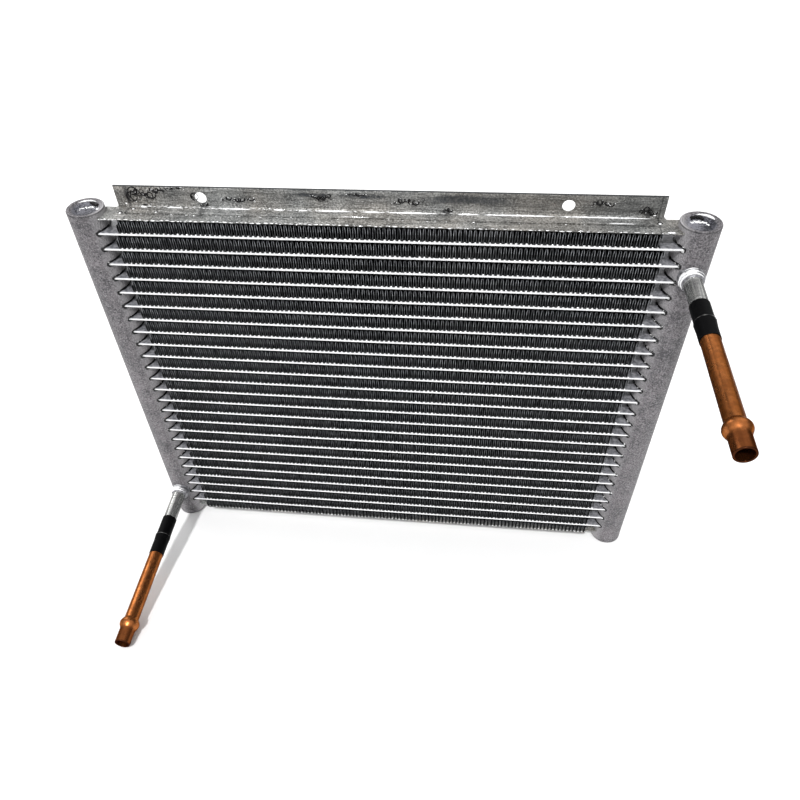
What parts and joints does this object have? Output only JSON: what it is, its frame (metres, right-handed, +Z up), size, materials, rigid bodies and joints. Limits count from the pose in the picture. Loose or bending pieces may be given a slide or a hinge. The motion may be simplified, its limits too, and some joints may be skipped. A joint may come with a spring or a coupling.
{
  "type": "parallel flow condenser",
  "caption": "Flat finned heat exchanger with an upright round header on each side, a drilled mounting strip along the top and two forward copper pipe connections.",
  "frame": {"origin": "midway between the two bracket holes, on the back face of the bracket's flange", "axes": "+X across the core toward the header with the upper pipe, +Y toward the back, out through the bracket holes, +Z up along the headers"},
  "size_m": [0.349, 0.1495, 0.28],
  "materials": {
    "header_aluminium": "matte, lightly pitted",
    "tube_aluminium": "satin",
    "fin_aluminium": "satin sheet",
    "plate_aluminium": "mottled satin with flux stains",
    "stub_aluminium": "bright, brushed round",
    "copper": "smooth bare copper",
    "sleeve_black": "semi-gloss shrunk sleeve"
  },
  "bodies": {
    "root": {"bottom_side_plate": "plate_aluminium", "copper_pipes": "copper", "fin_rows_01_02": "fin_aluminium", "fin_rows_03_04": "fin_aluminium", "fin_rows_05_06": "fin_aluminium", "fin_rows_07_08": "fin_aluminium", "fin_rows_09_10": "fin_aluminium", "fin_rows_11_12": "fin_aluminium", "fin_rows_13_14": "fin_aluminium", "fin_rows_15_16": "fin_aluminium", "fin_rows_17_18": "fin_aluminium", "fin_rows_19_20": "fin_aluminium", "fin_rows_21_22": "fin_aluminium", "fin_rows_23_24": "fin_aluminium", "fin_rows_25_26": "fin_aluminium", "flat_tube_01": "tube_aluminium", "flat_tube_02": "tube_aluminium", "flat_tube_03": "tube_aluminium", "flat_tube_04": "tube_aluminium", "flat_tube_05": "tube_aluminium", "flat_tube_06": "tube_aluminium", "flat_tube_07": "tube_aluminium", "flat_tube_08": "tube_aluminium", "flat_tube_09": "tube_aluminium", "flat_tube_10": "tube_aluminium", "flat_tube_11": "tube_aluminium", "flat_tube_12": "tube_aluminium", "flat_tube_13": "tube_aluminium", "flat_tube_14": "tube_aluminium", "flat_tube_15": "tube_aluminium", "flat_tube_16": "tube_aluminium", "flat_tube_17": "tube_aluminium", "flat_tube_18": "tube_aluminium", "flat_tube_19": "tube_aluminium", "flat_tube_20": "tube_aluminium", "flat_tube_21": "tube_aluminium", "flat_tube_22": "tube_aluminium", "flat_tube_23": "tube_aluminium", "flat_tube_24": "tube_aluminium", "flat_tube_25": "tube_aluminium", "header_partitions": "plate_aluminium", "left_end_caps": "header_aluminium", "left_header": "header_aluminium", "mounting_bracket": "plate_aluminium", "pipe_sleeves": "sleeve_black", "pipe_stubs": "stub_aluminium", "right_end_caps": "header_aluminium", "right_header": "header_aluminium", "top_side_plate": "plate_aluminium"}
  },
  "joints": []
}
